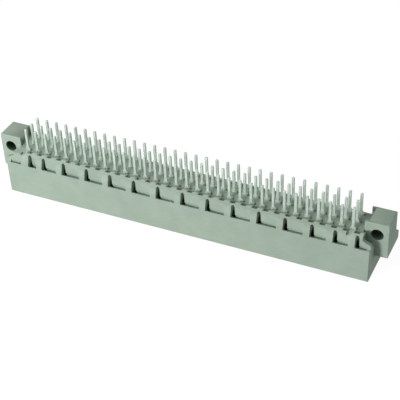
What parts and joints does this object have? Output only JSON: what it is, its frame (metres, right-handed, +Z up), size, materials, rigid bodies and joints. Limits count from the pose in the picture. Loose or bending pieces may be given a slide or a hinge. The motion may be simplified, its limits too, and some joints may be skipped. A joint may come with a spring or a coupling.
{
  "type": "backplane connector",
  "caption": "Male board connector: a long moulded shell open at its mating side, straight solder pins in a grid on top, and a drilled fixing ear at each end.",
  "frame": {"origin": "middle of the mating rim, which the connector stands on", "axes": "+X along the connector, to the right as seen in the picture; +Y to the side where the circuit board seats; +Z up from the mating rim along the solder pins"},
  "size_m": [0.094, 0.011, 0.0165],
  "materials": {
    "housing_plastic": "glass-filled thermoplastic, grey-green, fine moulded matt",
    "tinned_contact": "tin plated over copper alloy, satin"
  },
  "bodies": {
    "root": {"housing": "housing_plastic", "contact_column_01": "tinned_contact", "contact_column_02": "tinned_contact", "contact_column_03": "tinned_contact", "contact_column_04": "tinned_contact", "contact_column_05": "tinned_contact", "contact_column_06": "tinned_contact", "contact_column_07": "tinned_contact", "contact_column_08": "tinned_contact", "contact_column_09": "tinned_contact", "contact_column_10": "tinned_contact", "contact_column_11": "tinned_contact", "contact_column_12": "tinned_contact", "contact_column_13": "tinned_contact", "contact_column_14": "tinned_contact", "contact_column_15": "tinned_contact", "contact_column_16": "tinned_contact", "contact_column_17": "tinned_contact", "contact_column_18": "tinned_contact", "contact_column_19": "tinned_contact", "contact_column_20": "tinned_contact", "contact_column_21": "tinned_contact", "contact_column_22": "tinned_contact", "contact_column_23": "tinned_contact", "contact_column_24": "tinned_contact", "contact_column_25": "tinned_contact", "contact_column_26": "tinned_contact", "contact_column_27": "tinned_contact", "contact_column_28": "tinned_contact", "contact_column_29": "tinned_contact", "contact_column_30": "tinned_contact", "contact_column_31": "tinned_contact", "contact_column_32": "tinned_contact"}
  },
  "joints": []
}
